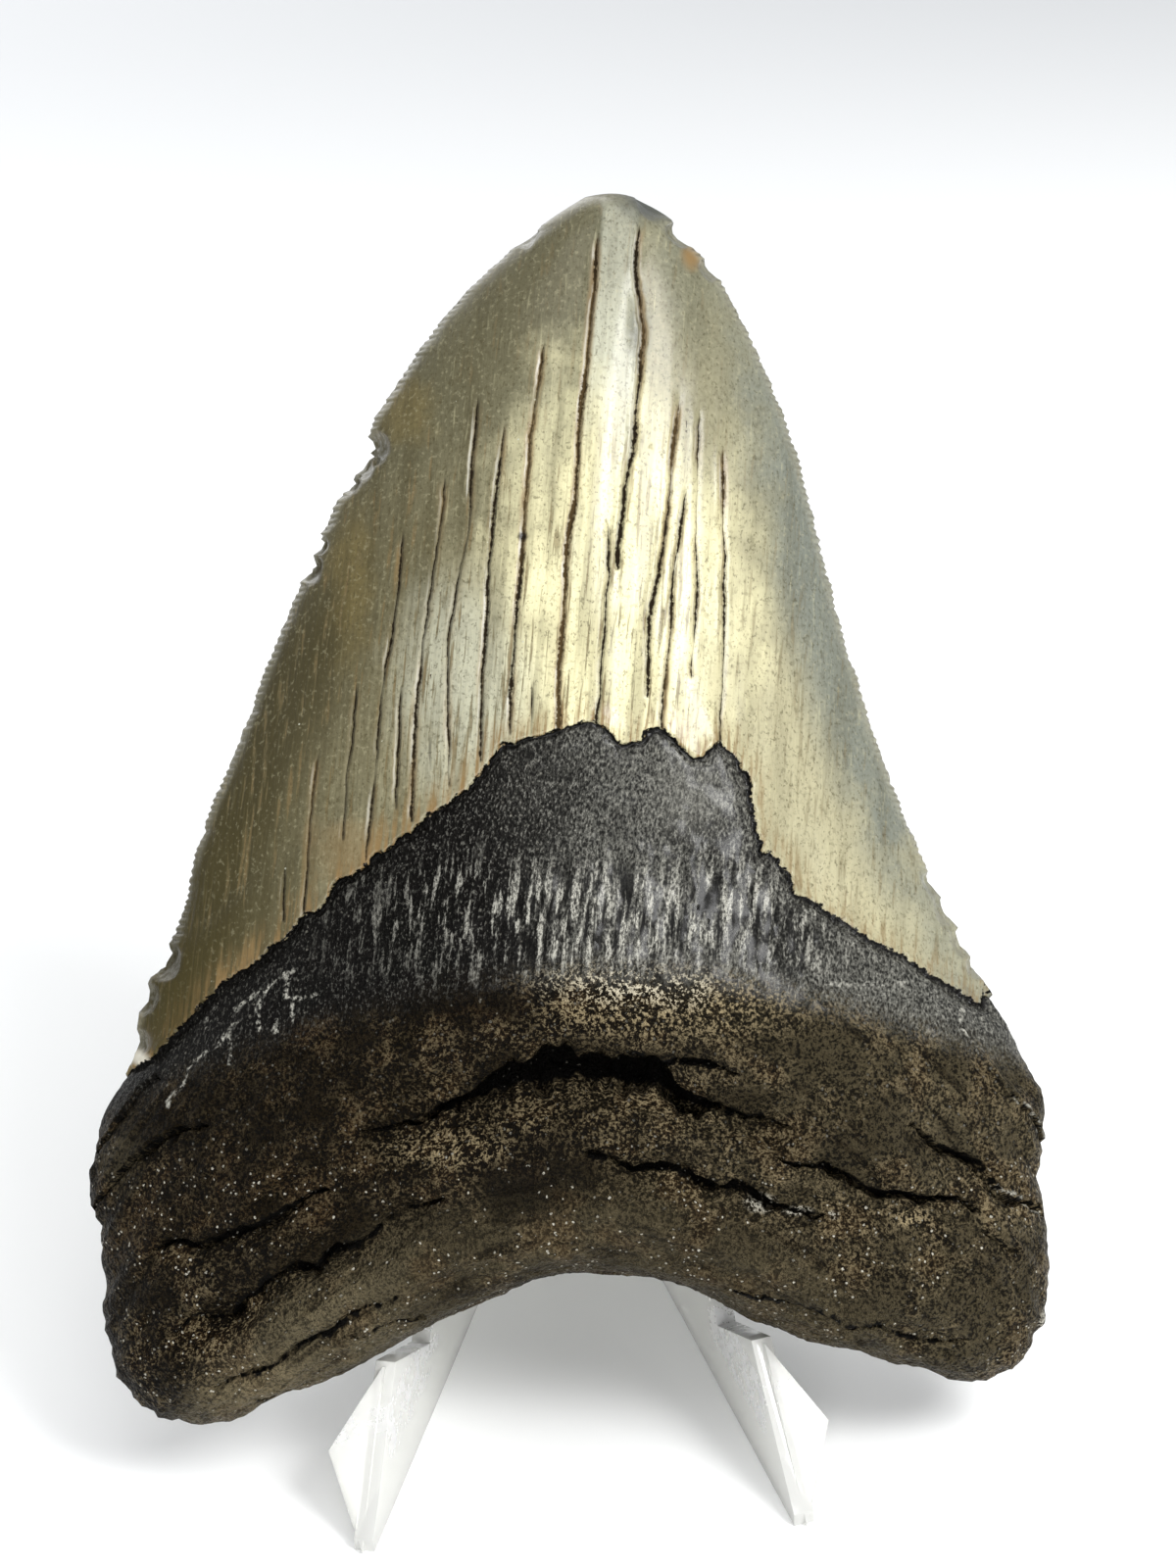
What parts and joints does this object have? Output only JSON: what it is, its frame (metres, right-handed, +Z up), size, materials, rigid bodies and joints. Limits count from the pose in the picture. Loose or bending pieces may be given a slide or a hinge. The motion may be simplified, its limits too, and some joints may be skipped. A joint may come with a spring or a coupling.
{
  "type": "megalodon tooth",
  "caption": "Fossil megalodon tooth, a pale enamel blade with fine serrated edges on a thick dark two-lobed root, leaning back in a small clear V-shaped display stand.",
  "frame": {"origin": "on the surface that the stand rests on, under the middle of the whole object's box", "axes": "+Z up, +X to the right seen from the front, +Y backwards; the tooth's shown face looks towards -Y and up"},
  "size_m": [0.0952, 0.0822, 0.111],
  "materials": {
    "fossil_stone": "glossy mineralised enamel over satin dark root",
    "clear_plastic": "clear moulded polystyrene, lightly scuffed"
  },
  "bodies": {
    "root": {"megalodon_tooth": "fossil_stone", "display_stand": "clear_plastic"}
  },
  "joints": []
}
